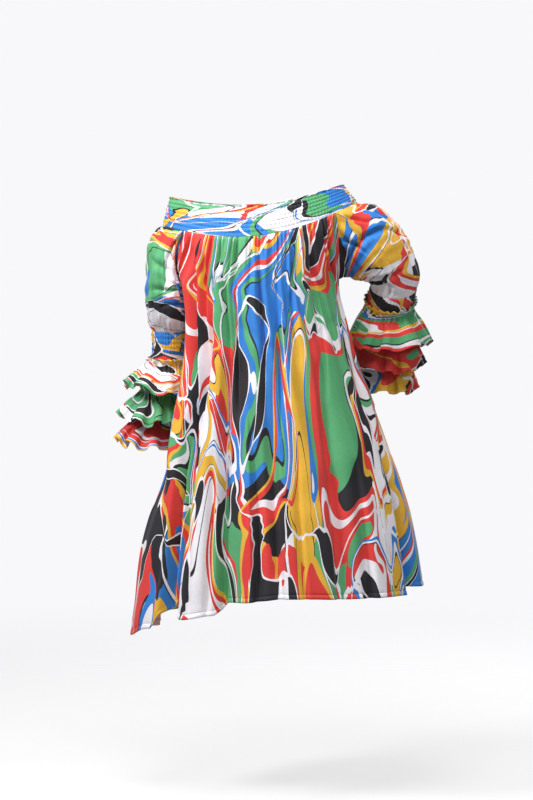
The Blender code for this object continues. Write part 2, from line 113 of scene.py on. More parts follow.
def band_points(height, angle, out):
    """Points round the neckband at a share of its height from the bottom, moved out of its middle."""
    turn = np.radians(angle)
    x = BAND_BOTTOM.x + (BAND_TOP.x - BAND_BOTTOM.x) * height
    half_width = BAND_BOTTOM.half_width + (BAND_TOP.half_width - BAND_BOTTOM.half_width) * height
    half_depth = BAND_BOTTOM.half_depth + (BAND_TOP.half_depth - BAND_BOTTOM.half_depth) * height
    points = np.stack([x + half_width * np.cos(turn), half_depth * np.sin(turn), 0.0 * turn], -1)
    points += ring_normal(half_width, half_depth, angle) * out[..., None]
    low = ring_height(BAND_BOTTOM, angle)
    points[..., 2] = low + (ring_height(BAND_TOP, angle) - low) * height
    return points


def shirring(height, turn, elastics, low, high, puckers):
    """How far cloth puffs out between elastic threads, in uneven cells that shift from row to row."""
    place = (height - low) / (high - low) * (elastics - 1)
    row = np.floor(np.clip(place, 0, elastics - 1.001))
    inside = (place > 0.0) & (place < elastics - 1)
    puff = np.where(inside, np.abs(np.sin(math.pi * place)) ** 0.7, 0.0)
    shift = ROW_SHIFT * np.sin(2.1 * row + 0.4) + CELL_SHIFT * wander(turn, 3.1 * row, (2, 3, 7, 13, 19))
    cells = 0.5 + 0.5 * np.cos(puckers * turn + 2.0 * math.pi * 0.5 * row + shift)
    fullness = EVEN_PUFF + (1.0 - EVEN_PUFF) * wander(turn, 1.7 * row + 0.5, (5, 9, 17, 31))
    outer = np.minimum(np.abs(place), np.abs(place - elastics + 1)) / ELASTIC_REACH
    near = np.exp(-(outer**2)) * (1 - inside)
    return PUFF * puff * fullness + CELL * (puff + 0.7 * near) * (cells - 0.5)


def tube_cut(cut, share, count, seed):
    """The flat cut of a closed tube: down it, and round it with one more column to close the seam."""
    columns = np.linspace(0.0, cut[0], count + 1) * np.ones((len(share), 1))
    return np.stack([share * cut[1] + seed * np.ones(count + 1), columns + seed], -1)


def lay_cloth(name, grid, flat, closed, materials):
    """A thin sheet of cloth on a grid of points, facing out, with its flat cut's metres as its UV map. The
    second material is for the wrong side."""
    rows, columns = grid.shape[:2]
    last = columns if closed else columns - 1
    row, column = np.meshgrid(np.arange(rows - 1), np.arange(last), indexing="ij")
    row, column = row.ravel(), column.ravel()
    corners = [(row, column), (row + 1, column), (row + 1, column + 1), (row, column + 1)]
    middle = grid.mean(axis=1, keepdims=True) * ((1.0, 1.0, 1.0) if closed else (0.0, 0.0, 1.0))
    facing = np.cross(grid[1:, :-1] - grid[:-1, :-1], grid[:-1, 1:] - grid[:-1, :-1])
    if np.sum(facing * (grid - middle)[:-1, :-1]) < 0.0:
        corners.reverse()
    faces = np.stack([r * columns + c % columns for r, c in corners], -1)
    mesh = bpy.data.meshes.new(name)
    mesh.from_pydata(grid.reshape(-1, 3).tolist(), [], faces.tolist())
    cut = mesh.uv_layers.new(name="Cut")
    cut.data.foreach_set("uv", np.stack([flat[r, c] for r, c in corners], 1).ravel())
    mesh.shade_smooth()
    for material in materials:
        mesh.materials.append(material)
    piece = bpy.data.objects.new(name, mesh)
    bpy.context.scene.collection.objects.link(piece)
    cloth = piece.modifiers.new("cloth", "SOLIDIFY")
    cloth.thickness = CLOTH
    cloth.offset = 0.0
    cloth.material_offset = 1
    return piece


def linear(colour):
    """An sRGB hex colour as linear RGBA."""
    parts = [int(colour[k : k + 2], 16) / 255 for k in (0, 2, 4)]
    return [p / 12.92 if p <= 0.04045 else ((p + 0.055) / 1.055) ** 2.4 for p in parts] + [1.0]


def add(material, kind, inputs=(), **settings):
    """One shader node, with its properties set and its inputs set or linked."""
    node = material.node_tree.nodes.new("ShaderNode" + kind)
    for key, value in settings.items():
        setattr(node, key, value)
    for key, value in dict(inputs).items():
        if isinstance(value, bpy.types.NodeSocket):
            material.node_tree.links.new(value, node.inputs[key])
        else:
            node.inputs[key].default_value = value
    return node


# The print's inks on bleached cotton
INKS = {
    "green": "54A56E",
    "red": "DD3A36",
    "yellow": "E4B036",
    "blue": "2C7CCE",
    "black": "1D1B22",
    "white": "ECE9EF",
}
# The marbling: shares of the big patches, then two sets of streaks that are laid over them, each with where
# its bands start across the streak's field; None lets the patches show
PATCHES = [("white", 0.00), ("green", 0.16), ("red", 0.39), ("yellow", 0.60), ("black", 0.80), ("blue", 0.89)]
DRIPS = [
    (None, 0.00), ("yellow", 0.17), ("black", 0.27), (None, 0.285), ("white", 0.425), ("black", 0.455),
    (None, 0.467), ("red", 0.60), ("white", 0.64), (None, 0.67), ("green", 0.75), ("black", 0.81),
    (None, 0.83),
]
VEINS = [
    (None, 0.00), ("red", 0.24), ("yellow", 0.30), (None, 0.34), ("blue", 0.72), ("white", 0.76),
    ("black", 0.79), (None, 0.805),
]
# Where each set of streaks lies in the noise, its scale and its bands, and the levels the bands run between
STREAKS = [((3.7, 9.2, 0.0), 0.62, DRIPS), ((8.3, 1.4, 0.0), 0.8, VEINS)]
STREAK_LOW = 0.22
STREAK_HIGH = 0.78
# How fine each drag of the comb is, and how far it goes
DRAGS = [(0.75, 1.7), (1.9, 0.55), (6.0, 0.07)]
PATCH_SCALE = 0.72
# The black strokes: where they lie, their scale, how they swell and taper, and their white edge
STROKE_PLACE = (2.2, 5.5, 0.0)
SWELL_PLACE = (6.1, 0.7, 0.0)
STROKE_SCALE = 0.95
SWELL_SCALE = 1.1
STROKE_SWELL = {"From Min": 0.47, "From Max": 0.70, "To Min": -0.002, "To Max": 0.062}
STROKE_EDGE = 0.010
# One unit of the print in metres, the drawn thread's width and its shape, and how much duller and paler the
# wrong side is
MOTIF_WIDTH = 0.096
MOTIF_LENGTH = 0.300
THREAD = 0.0016
SLUB = 0.12
DULLER = 0.72
PALER = 0.38
PALE_COTTON = "E6E0E2"


def soft_noise(material, vector, scale, place=None):
    """Noise without finer detail, read somewhere else in it if a place is given."""
    if place:
        vector = add(material, "VectorMath", {0: vector, 1: place}, operation="ADD").outputs[0]
    return add(material, "TexNoise", {"Vector": vector, "Scale": scale, "Detail": 0.0})


def mixed(material, factor, under, over):
    inputs = {"Factor": factor, "A": under, "B": over}
    return add(material, "Mix", inputs, data_type="RGBA").outputs["Result"]


def marbled_print(name):
    """The marbled print on a new material. The inks lie flat and even, with crisp edges."""
    material = bpy.data.materials.new(name)
    material.use_nodes = True
    cut = add(material, "UVMap", uv_map="Cut").outputs["UV"]
    flat = add(material, "Mapping", {"Vector": cut, "Scale": (1 / MOTIF_WIDTH, 1 / MOTIF_LENGTH, 1.0)})

    # The wet inks are dragged three times, far and then less and less, as a comb drags them
    pulled = flat.outputs["Vector"]
    for scale, reach in DRAGS:
        drag = soft_noise(material, pulled, scale).outputs["Color"]
        inputs = {0: drag, 1: (reach, reach, 0.0), 2: pulled}
        pulled = add(material, "VectorMath", inputs, operation="MULTIPLY_ADD").outputs[0]

    cells = add(material, "TexVoronoi", {"Vector": pulled, "Scale": PATCH_SCALE}).outputs["Color"]
    pick = add(material, "SeparateColor", {"Color": cells}).outputs["Red"]
    layers = [(pick, PATCHES)]
    for place, scale, bands in STREAKS:
        field = soft_noise(material, pulled, scale, place).outputs["Fac"]
        level = add(material, "MapRange", {"Value": field, "From Min": STREAK_LOW, "From Max": STREAK_HIGH})
        layers.append((level.outputs["Result"], bands))
    colour = None
    for value, bands in layers:
        ramp = add(material, "ValToRGB", {"Fac": value})
        steps = ramp.color_ramp
        steps.interpolation = "CONSTANT"
        while len(steps.elements) < len(bands):
            steps.elements.new(0.99)
        for element, (ink, start) in zip(steps.elements, bands):
            element.position = start
            element.color = linear(INKS[ink]) if ink else (0.0, 0.0, 0.0, 0.0)
        if colour is None:
            colour = ramp.outputs["Color"]
        else:
            colour = mixed(material, ramp.outputs["Alpha"], colour, ramp.outputs["Color"])

    # Black strokes that taper to points, with a thin white edge
    stroke = soft_noise(material, pulled, STROKE_SCALE, STROKE_PLACE).outputs["Fac"]
    away = add(material, "Math", {0: stroke, 1: 0.5}, operation="SUBTRACT").outputs[0]
    away = add(material, "Math", {0: away}, operation="ABSOLUTE").outputs[0]
    swell = soft_noise(material, flat.outputs[0], SWELL_SCALE, SWELL_PLACE).outputs["Fac"]
    width = add(material, "MapRange", {"Value": swell} | STROKE_SWELL).outputs[0]
    wide = add(material, "Math", {0: width, 1: STROKE_EDGE}, operation="ADD").outputs[0]
    for limit, ink in ((wide, "white"), (width, "black")):
        inside = add(material, "Math", {0: away, 1: limit}, operation="LESS_THAN").outputs[0]
        colour = mixed(material, inside, colour, linear(INKS[ink]))
    return material, colour, cut


def printed_cotton(name, wrong_side=False):
    """Plain-weave cotton poplin with the marbled print. The cloth is matt with a faint sheen off its threads,
    and its wrong side shows the print paler."""
    material, colour, cut = marbled_print(name)
    shader = material.node_tree.nodes["Principled BSDF"]
    link = material.node_tree.links.new
    # Threads lie about 0.35 mm apart, too fine to show from here, so the weave is drawn at 1.6 mm
    grain = add(material, "Mapping", {"Vector": cut, "Scale": (1 / THREAD, SLUB / THREAD, 1.0)})
    warp = add(material, "TexNoise", {"Vector": grain.outputs[0], "Scale": 1.0, "Detail": 1.0})
    grain = add(material, "Mapping", {"Vector": cut, "Scale": (SLUB / THREAD, 1 / THREAD, 1.0)})
    weft = add(material, "TexNoise", {"Vector": grain.outputs[0], "Scale": 1.0, "Detail": 1.0})
    threads = {0: warp.outputs["Fac"], 1: weft.outputs["Fac"]}
    weave = add(material, "Math", threads, operation="ADD").outputs[0]
    inputs = {"Value": weave, "From Min": 0.7, "From Max": 1.3, "To Min": 0.93, "To Max": 1.05}
    shade = add(material, "MapRange", inputs)
    hsv = add(material, "HueSaturation", {"Color": colour, "Value": shade.outputs[0]})
    if wrong_side:
        hsv.inputs["Saturation"].default_value = DULLER
        pale = mixed(material, PALER, hsv.outputs[0], linear(PALE_COTTON))
        link(pale, shader.inputs["Base Color"])
    else:
        link(hsv.outputs[0], shader.inputs["Base Color"])
    bump = add(material, "Bump", {"Height": weave, "Strength": 0.22, "Distance": 0.0006})
    link(bump.outputs[0], shader.inputs["Normal"])
    shader.inputs["Roughness"].default_value = 0.72
    shader.inputs["IOR"].default_value = 1.46
    shader.inputs["Sheen Weight"].default_value = 0.12
    shader.inputs["Sheen Roughness"].default_value = 0.45
    return material


cottons = (
    printed_cotton("printed_cotton_poplin"),
    printed_cotton("printed_cotton_wrong_side", wrong_side=True),
)

height = np.linspace(1.0, 0.0, BAND_ROWS)[:, None] * np.ones(BAND_COLUMNS)
angle = 360.0 / BAND_COLUMNS * np.arange(BAND_COLUMNS) * np.ones((BAND_ROWS, 1))
turn = np.radians(angle)
above = ease((height - (1.0 - BAND_FRILL)) / BAND_FRILL)
out = shirring(height, turn, BAND_ELASTICS, BAND_STRIP, 1.0 - BAND_FRILL, BAND_PUCKERS)
out += above * (FRILL_FLARE + FRILL_WAVE * wander(turn, 0.4, (41, 53, 67, 88)))
flat = tube_cut(BAND_CUT, 1.0 - height[:, :1], BAND_COLUMNS, 0.0) * BAND_PRINT
band = lay_cloth("neckband_cloth", band_points(height, angle, out), flat, True, cottons)
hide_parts("neckband")
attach(band, "root")

# Back and front. Each is one width of the cotton, gathered into the neckband between the armholes, joined
# at the side seams and finished with a narrow stitched hem. It hangs free in a tent, with folds that open
# towards the hem.
Section = namedtuple("Section", "share x half_width half_depth left_edge right_edge")
SECTIONS = [
    Section(0.00, 0.002, 0.225, 0.132, 40, 40),
    Section(0.05, 0.002, 0.214, 0.138, 31, 34),
    Section(0.10, 0.002, 0.202, 0.144, 19, 27),
    Section(0.15, 0.002, 0.190, 0.149, 0, 17),
    Section(0.20, 0.002, 0.184, 0.152, 0, 0),
    Section(0.32, -0.008, 0.196, 0.156, 0, 0),
    Section(0.46, -0.015, 0.225, 0.166, 0, 0),
    Section(0.62, -0.026, 0.266, 0.184, 0, 0),
    Section(0.80, -0.034, 0.309, 0.208, 0, 0),
    Section(1.00, -0.040, 0.336, 0.232, 0, 0),
]
LEFT_UNDERARM = 3
RIGHT_UNDERARM = 4
HemPoint = namedtuple("HemPoint", "angle z")
HEM = [
    HemPoint(8, -0.970), HemPoint(27, -0.948), HemPoint(39, -0.890), HemPoint(50, -0.919),
    HemPoint(63, -0.909), HemPoint(69, -0.881), HemPoint(95, -0.868), HemPoint(120, -0.872),
    HemPoint(150, -0.870), HemPoint(165, -0.857), HemPoint(185, -0.856), HemPoint(215, -0.868),
    HemPoint(250, -0.876), HemPoint(285, -0.890), HemPoint(320, -0.925), HemPoint(345, -0.958),
]
Fold = namedtuple("Fold", "top middle hem top_depth middle_depth hem_depth half_width")
FOLDS = [
    Fold(31, 27, 20, -0.010, -0.018, 0.000, 13.0),
    Fold(52, 45, 40, 0.006, 0.030, 0.066, 9.0),
    Fold(64, 54, 54, 0.000, -0.004, -0.010, 9.0),
    Fold(80, 69, 69.5, 0.002, 0.018, 0.042, 11.0),
    Fold(104, 98, 96, 0.000, 0.000, -0.006, 11.0),
    Fold(128, 122, 121, 0.000, 0.004, 0.012, 14.0),
    Fold(140, 158, 161, 0.000, 0.008, 0.036, 8.0),
    Fold(0, 4, 8, 0.000, -0.002, -0.006, 14.0),
    Fold(184, 186, 187, 0.000, 0.004, 0.030, 9.0),
    Fold(214, 207, 205, 0.002, 0.016, 0.052, 11.0),
    Fold(236, 230, 228, 0.000, 0.012, 0.034, 11.0),
    Fold(254, 251, 250, 0.004, 0.022, 0.058, 10.0),
    Fold(272, 273, 274, 0.000, 0.010, 0.030, 11.0),
    Fold(290, 297, 298, 0.004, 0.020, 0.060, 11.0),
    Fold(306, 319, 321, 0.000, 0.010, 0.034, 10.0),
    Fold(328, 341, 342, 0.000, 0.010, 0.048, 10.0),
]
# How far down the gathers spread to the full width, and how closely only the edges follow the armholes
GATHERS_SPREAD = 0.60
EDGE_HOLD = 4
# Where the left sleeve presses the cloth in: how deep, how far round, and from where to where
PRESS_DEPTH = 0.040
PRESS_BACK = 34.0
PRESS_FRONT = 62.0
PRESS_TOP_ANGLE = -4.0
PRESS_LOW_ANGLE = -16.0
PRESS_START = 0.02
PRESS_FULL = 0.15
PRESS_FADE = 0.55
PRESS_END = 0.78

# The flat cut of what shows: its width at the hem and its length, and its width at the top
PANEL_CUT = (1.15, 0.90)
PANEL_TOP = 0.63
PANEL_COLUMNS = 340
PANEL_ROWS = 116
PANEL_GATHERS = 15
# The hem's height and bulk, its stitch line's depth, unevenness and width, the step at its upper edge, and
# the heights of the rows of points that draw it
HEM_TURN = 0.011
HEM_BULK = 0.0009
HEM_DENT = 0.0011
HEM_PULL = 0.0005
HEM_STITCH = 0.0022
HEM_STEP = 0.002
HEM_ROWS = (0.022, 0.0165, 0.0135, 0.012, 0.011, 0.010, 0.0085, 0.004, 0.0)
# The side seams: their width as a share of the panel, their depth, and how soon they start below an underarm
SIDE_SEAM = 0.004
SIDE_DENT = 0.0012
SIDE_START = 0.05
# How narrow a crease is on the side where the cloth laps over it
LAPPED = 0.36
# The cloth's rumple, and how far from the edges and the top it starts
RUMPLE = 0.0007
EDGE_REST = 0.02
TOP_REST = 0.03

# Three sets of gathers: how many as a share of PANEL_GATHERS, how tall, and the shares of the length by
# which they have grown and gone
GATHERINGS = [
    (2.0, 0.0070, 0.015, 0.13),
    (1.0, 0.0140, 0.040, 0.46),
    (0.5, 0.0170, 0.260, 0.96),
]
# How unevenly they lie in the large and the small, sway and differ in length, the middle of a ridge's height,
# how soon the shortest fade, and how much of a fine one stays
GATHER_DRIFT = 0.50
GATHER_SHIFT = 0.22
GATHER_SWAY = 0.15
GATHER_UNEVEN = 0.35
GATHER_MIDDLE = 0.62
SHORTEST_FADE = 0.03
LASTING = 0.3

# Creases as seen square on: the ends of each in metres across and up, how far its middle bows sideways,
# its depth (a ridge if negative), half its width, and on which side the cloth laps over it: 1 on the right
# of the dress, -1 on its left, 0 on neither
Crease = namedtuple("Crease", "x0 z0 x1 z1 bow depth half_width lap")
BACK_CREASES = [
    Crease(0.150, -0.080, 0.156, -0.620, 0.003, 0.028, 0.020, 1),
    Crease(0.160, -0.480, 0.208, -1.000, -0.010, 0.030, 0.026, 1),
    Crease(0.082, -0.330, 0.086, -1.000, -0.004, 0.024, 0.026, -1),
    Crease(-0.262, -0.440, -0.352, -1.000, 0.010, 0.020, 0.024, -1),
    Crease(0.128, -0.070, 0.118, -0.320, -0.003, 0.014, 0.011, 1),
    Crease(0.098, -0.080, 0.076, -0.430, 0.006, 0.016, 0.014, -1),
    Crease(0.052, -0.075, 0.048, -0.480, -0.004, 0.016, 0.013, 1),
    Crease(0.014, -0.075, -0.004, -0.380, 0.005, 0.014, 0.012, -1),
    Crease(-0.028, -0.070, -0.046, -0.520, 0.006, 0.017, 0.015, 1),
    Crease(-0.068, -0.060, -0.076, -0.310, -0.003, 0.013, 0.011, -1),
    Crease(-0.104, -0.050, -0.150, -0.430, 0.008, 0.014, 0.014, 1),
    Crease(-0.144, -0.060, -0.200, -0.350, 0.010, 0.012, 0.012, -1),
    Crease(-0.178, -0.120, -0.236, -0.480, 0.010, 0.014, 0.015, 0),
    Crease(-0.120, -0.340, -0.176, -0.960, 0.012, 0.023, 0.030, -1),
    Crease(-0.030, -0.360, -0.060, -1.000, -0.010, 0.022, 0.028, 1),
    Crease(0.030, -0.420, 0.012, -1.000, 0.008, 0.020, 0.024, -1),
    Crease(0.224, -0.420, 0.262, -1.000, 0.008, 0.017, 0.022, 0),
    Crease(-0.212, -0.560, -0.262, -1.000, 0.006, 0.016, 0.024, 1),
    Crease(0.110, -0.540, 0.128, -0.960, 0.004, 0.013, 0.016, 0),
    Crease(-0.084, -0.560, -0.112, -0.940, -0.006, 0.010, 0.016, 1),
    Crease(0.176, -0.600, 0.166, -0.940, 0.006, 0.009, 0.014, -1),
    Crease(0.060, -0.240, -0.060, -0.330, -0.010, 0.003, 0.014, 0),
    Crease(-0.180, -0.230, -0.100, -0.300, 0.008, 0.003, 0.012, 0),
]
FRONT_CREASES = [
    Crease(-0.152, -0.100, -0.140, -0.520, 0.006, 0.018, 0.018, 1),
    Crease(-0.118, -0.080, -0.100, -0.380, -0.008, 0.011, 0.013, -1),
    Crease(-0.076, -0.075, -0.090, -0.440, 0.006, 0.012, 0.015, 1),
    Crease(-0.040, -0.078, -0.034, -0.300, 0.004, 0.009, 0.011, -1),
    Crease(-0.004, -0.085, -0.010, -0.500, 0.008, 0.012, 0.015, 1),
    Crease(0.034, -0.080, 0.044, -0.330, -0.004, 0.009, 0.012, 1),
    Crease(0.070, -0.085, 0.074, -0.460, 0.006, 0.012, 0.014, -1),
    Crease(0.108, -0.085, 0.118, -0.360, -0.006, 0.010, 0.013, 1),
    Crease(0.148, -0.120, 0.134, -0.480, -0.008, 0.014, 0.016, -1),
    Crease(-0.172, -0.440, -0.236, -1.000, 0.010, 0.020, 0.024, -1),
    Crease(-0.060, -0.420, -0.084, -1.000, -0.010, 0.014, 0.026, 1),
    Crease(0.052, -0.440, 0.086, -1.000, 0.010, 0.016, 0.024, -1),
    Crease(0.170, -0.440, 0.214, -1.000, 0.008, 0.018, 0.024, 1),
    Crease(0.000, -0.560, 0.000, -0.960, 0.008, 0.010, 0.024, 0),
    Crease(0.090, -0.220, -0.030, -0.300, 0.010, 0.003, 0.014, 0),
]


def turned(angle, middle):
    """The angle from middle, between -180 and 180."""
    return (np.asarray(angle) - middle + 180.0) % 360.0 - 180.0


def bump(angle, middle, half_width):
    """1 at the middle and 0 from half_width away."""
    away = np.clip(np.abs(turned(angle, middle)) / half_width, 0.0, 1.0)
    return 0.5 + 0.5 * np.cos(math.pi * away)


def soft_steps(keys, values, place):
    """A smooth curve through values, or through rows of points, at uneven keys."""
    keys = np.asarray(keys, float)
    values = np.asarray(values, float)
    slopes = np.gradient(values, keys, axis=0)
    place = np.clip(place, keys[0], keys[-1])
    k = np.clip(np.searchsorted(keys, place, side="right") - 1, 0, len(keys) - 2)
    shape = np.shape(place) + (1,) * (values.ndim - 1)
    width = np.reshape(keys[k + 1] - keys[k], shape)
    t = np.reshape(place - keys[k], shape) / width
    start = (2 * t**3 - 3 * t**2 + 1) * values[k] + (t**3 - 2 * t**2 + t) * width * slopes[k]
    end = (3 * t**2 - 2 * t**3) * values[k + 1] + (t**3 - t**2) * width * slopes[k + 1]
    return start + end


def hem_height(angle):
    """Height of the hem at an angle, eased between the points of the table."""
    keys = [HEM[-1].angle - 360.0] + [p.angle for p in HEM] + [HEM[0].angle + 360.0]
    heights = np.array([HEM[-1].z] + [p.z for p in HEM] + [HEM[0].z])
    place = np.interp(np.asarray(angle, float) % 360.0, keys, np.arange(len(keys)))
    below = np.minimum(place.astype(int), len(keys) - 2)
    part = ease(place - below)
    return heights[below] * (1.0 - part) + heights[below + 1] * part


def section_at(share):
    """The body section at any share of the way down."""
    share = np.clip(share, 0.0, 1.0)
    columns = dict(zip(Section._fields, zip(*SECTIONS)))
    values = {name: soft_steps(columns["share"], columns[name], share) for name in Section._fields[1:4]}
    values |= {name: np.interp(share, columns["share"], columns[name]) for name in Section._fields[4:]}
    return Section(share, **values)


def through(share, top, middle, low):
    """A smooth change from top to low that leans towards middle on the way."""
    return top * (1.0 - share) ** 2 + 2.0 * middle * share * (1.0 - share) + low * share**2


def folds_in(angle, share):
    """How far the cloth goes in at the hanging folds and where the left sleeve presses it."""
    total = np.zeros(np.broadcast(angle, share).shape)
    for fold in FOLDS:
        middle = np.interp(share, (0.0, 0.5, 1.0), (fold.top, fold.middle, fold.hem))
        depth = through(share, fold.top_depth, fold.middle_depth, fold.hem_depth)
        total += depth * ease(share / PRESS_FULL) * bump(angle, middle, fold.half_width)
    pressed = ease((share - PRESS_START) / (PRESS_FULL - PRESS_START))
    pressed = pressed * (1.0 - ease((share - PRESS_FADE) / (PRESS_END - PRESS_FADE)))
    low = ease((share - PRESS_START) / (PRESS_FADE - PRESS_START))
    middle = PRESS_TOP_ANGLE + (PRESS_LOW_ANGLE - PRESS_TOP_ANGLE) * low
    behind = bump(angle, middle, PRESS_BACK)
    ahead = bump(angle, middle, PRESS_FRONT)
    return total + PRESS_DEPTH * pressed * np.where(turned(angle, middle) > 0.0, behind, ahead)


def body_points(share, angle, out):
    """Points on the body at a share of the way down, moved out of the folds' surface."""
    section = section_at(share)
    turn = np.radians(angle)
    points = np.stack(
        [section.x + section.half_width * np.cos(turn), section.half_depth * np.sin(turn), 0.0 * turn], -1
    )
    away = ring_normal(section.half_width, section.half_depth, angle)
    points += away * (out - folds_in(angle, share))[..., None]
    across = (points[..., 0] - section.x) / section.half_width
    top = ring_height(BAND_BOTTOM, np.degrees(np.arctan2(points[..., 1] / section.half_depth, across))) - SEAM
    points[..., 2] = top + (hem_height(angle) - top) * share
    return points


def crease_depths(creases, across, up):
    """How far creases move the cloth in at places seen square on."""
    total = np.zeros(across.shape)
    for crease in creases:
        start = np.array([crease.x0, crease.z0])
        run = np.array([crease.x1, crease.z1]) - start
        length = np.linalg.norm(run)
        run = run / length
        t = ((across - start[0]) * run[0] + (up - start[1]) * run[1]) / length
        aside = (across - start[0]) * run[1] - (up - start[1]) * run[0]
        aside = aside - crease.bow * 4.0 * t * (1.0 - t)
        taper = np.where((t > 0.0) & (t < 1.0), np.sin(math.pi * np.clip(t, 0.0, 1.0)), 0.0)
        half_width = crease.half_width * (0.6 + 0.4 * taper) * np.where(aside * crease.lap > 0.0, LAPPED, 1.0)
        total += crease.depth * taper**0.7 * np.exp(-((aside / half_width) ** 2) * 2.0)
    return total


def panel_angles(share, part, back):
    """Angles across a panel: gathers run down nearly straight, and the edges follow armhole and side."""
    section = section_at(share)
    spread = ease(share / GATHERS_SPREAD)
    left = SECTIONS[0].left_edge * (1.0 - spread)
    right = SECTIONS[0].right_edge * (1.0 - spread)
    angle = left + (180.0 - right - left) * part
    angle = angle + (section.left_edge - left) * (1.0 - part) ** EDGE_HOLD
    angle = angle - (section.right_edge - right) * part**EDGE_HOLD
    return angle if back else 360.0 - angle


def ridges(wave):
    """Broad ridges with narrow valleys between them, from a wave between -1 and 1."""
    return (0.52 + 0.5 * wave) ** 0.6


def gathers(part, share, seed):
    """Ridges below the neckband with narrow valleys between them, uneven in place, width, height and length.
    Short fine ones run into longer and broader ones."""
    turn = 2.0 * math.pi * part
    drift = GATHER_DRIFT * wander(turn, seed, (2, 3, 5, 7))
    drift = drift + GATHER_SHIFT * wander(turn, seed + 2.0, (9, 13))
    total = 0.0
    for finer, tall, grown, gone in GATHERINGS:
        sway = GATHER_SWAY * np.sin(6.0 * share + 3.0 * turn)
        phase = finer * (PANEL_GATHERS * part + drift) + 0.16 * seed + sway
        length = gone * (1.0 + GATHER_UNEVEN * wander(turn, seed + finer, (4, 7, 11, 15)))
        fading = np.maximum(length - grown, SHORTEST_FADE)
        fade = ease(share / grown) * (1.0 - ease((share - grown) / fading))
        if finer >= 1.0:
            fade = fade * (1.0 - LASTING) + LASTING * (1.0 - ease(share / gone))
        ridge = ridges(-np.cos(2.0 * math.pi * phase)) - GATHER_MIDDLE
        total = total + tall * (0.8 + 0.3 * wander(turn, seed + 1.0 + finer, (5, 8, 13))) * ridge * fade
    return total * ease(np.minimum(part, 1.0 - part) * PANEL_GATHERS)


def rumple(part, share, seed):
    """Shallow unevenness of worn cotton, a few centimetres wide and longer down the cloth."""
    total = 0.0
    for k in range(1, 8):
        across = (11.0 + 5.3 * k) * part + 1.3 * np.sin(3.1 * share + k)
        down = (4.0 + 3.7 * ((k * 5) % 7)) * share
        total = total + np.sin(across + down + seed * k) * np.cos(0.6 * across - 1.4 * down + k * k)
    return total * RUMPLE


def make_panel(name, back, creases, seed):
    hem = 1.0 - np.array(HEM_ROWS) / PANEL_CUT[1]
    rows = np.concatenate([np.linspace(0.0, hem[0], PANEL_ROWS - len(hem), endpoint=False), hem])
    part = np.linspace(0.0, 1.0, PANEL_COLUMNS) * np.ones((PANEL_ROWS, 1))
    share = rows[:, None] * np.ones(PANEL_COLUMNS)
    angle = panel_angles(share, part, back)
    plain = body_points(share, angle, np.zeros(part.shape))
    edges = ease(np.minimum(part, 1.0 - part) / EDGE_REST)
    out = gathers(part, share, seed) + rumple(part, share, seed) * edges * ease(share / TOP_REST)
    out -= crease_depths(creases, plain[..., 0], plain[..., 2]) * edges
    beside = np.minimum(part, 1.0 - part) / SIDE_SEAM
    out -= SIDE_DENT * np.exp(-(beside**2)) * ease((share - SECTIONS[RIGHT_UNDERARM].share) / SIDE_START)
    length = PANEL_CUT[1] * (1.0 - share)
    out += HEM_BULK * ease((HEM_TURN - length) / HEM_STEP)
    stitched = np.exp(-(((length - HEM_TURN) / HEM_STITCH) ** 2))
    out -= (HEM_DENT + HEM_PULL * wander(60.0 * part, seed)) * stitched
    grid = body_points(share, angle, out)
    steps = np.linalg.norm(np.diff(plain, axis=1, prepend=plain[:, :1]), axis=2)
    across = np.cumsum(steps, axis=1)
    across = across / across[:, -1:] - 0.5
    wide = PANEL_TOP + (PANEL_CUT[0] - PANEL_TOP) * share
    flat = np.stack([across * wide + seed, length + seed], -1)
    panel = lay_cloth(name + "_cloth", grid, flat, False, cottons)
    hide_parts(name)
    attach(panel, "root")


make_panel("back_panel", True, BACK_CREASES, 1.3)
make_panel("front_panel", False, FRONT_CREASES, 4.1)

# Sleeves. Each upper sleeve is a wide tube cut across the cloth, so that the print runs round the arm. It is
# gathered into the neckband, the armhole seams and the cuff, and puffs out between them.
Hoop = namedtuple("Hoop", "x y z tilt lean over side")
SLEEVES = {
    "left": [
        Hoop(0.211, -0.008, -0.122, 44, 0, 0.072, 0.080),
        Hoop(0.214, -0.013, -0.168, 70, 2, 0.057, 0.086),
        Hoop(0.214, -0.021, -0.215, 88, 4, 0.054, 0.082),
        Hoop(0.213, -0.029, -0.250, 90, 6, 0.049, 0.068),
        Hoop(0.211, -0.032, -0.266, 90, 8, 0.043, 0.055),
    ],
    "right": [
        Hoop(-0.246, -0.006, -0.066, 26, 0, 0.086, 0.084),
        Hoop(-0.270, -0.012, -0.088, 42, 6, 0.080, 0.082),
        Hoop(-0.297, -0.022, -0.116, 62, 16, 0.066, 0.076),
        Hoop(-0.312, -0.031, -0.143, 80, 26, 0.058, 0.064),
        Hoop(-0.310, -0.036, -0.166, 90, 32, 0.053, 0.055),
    ],
}
# The roll of cloth along the armhole, and the puff of the sleeve's head above it
ROLL_ALONG = 0.0025
ROLL_OUT = 0.004
HEAD_PLACE = 0.58
HEAD_PUFF = 0.006
# How far a sleeve stays from the body, whose middle is taken at this share of its length
CLEARANCE = 0.008
BODY_MIDDLE = 0.3
SEAM_COLUMNS = 60
OVER_ARM_COLUMNS = 100
SLEEVE_ROWS = 84
